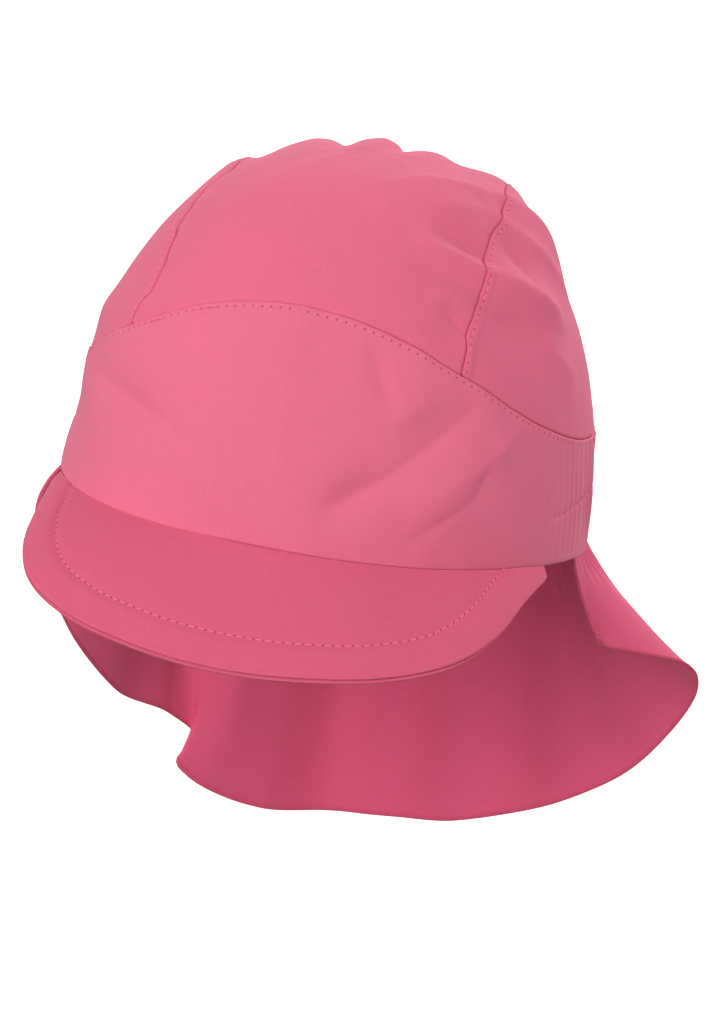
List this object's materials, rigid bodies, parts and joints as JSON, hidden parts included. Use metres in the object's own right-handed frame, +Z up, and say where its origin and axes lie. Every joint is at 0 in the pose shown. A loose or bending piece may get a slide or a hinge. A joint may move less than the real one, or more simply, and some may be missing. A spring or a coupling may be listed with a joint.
{
  "type": "child's legionnaire cap",
  "caption": "Soft child's sun cap of woven cotton, with a rounded panelled crown, a stitched soft peak and a hanging neck flap gathered on an elastic at the back.",
  "frame": {"origin": "middle of the head opening, level with the rim at the sides and back, where the cap sits on a head", "axes": "+Z up through the top of the crown, -Y out over the forehead and the peak, +X to the wearer's left"},
  "size_m": [0.1991, 0.2322, 0.2386],
  "materials": {
    "crown_cotton": "matte woven cotton poplin",
    "band_cotton": "matte woven cotton poplin",
    "peak_cotton": "matte woven cotton poplin",
    "flap_cotton": "matte woven cotton poplin"
  },
  "bodies": {
    "root": {"crown_center": "crown_cotton", "crown_left": "crown_cotton", "crown_right": "crown_cotton", "front_band": "band_cotton", "back_band": "band_cotton", "peak_top": "peak_cotton", "peak_under": "peak_cotton", "neck_flap": "flap_cotton"}
  },
  "joints": []
}
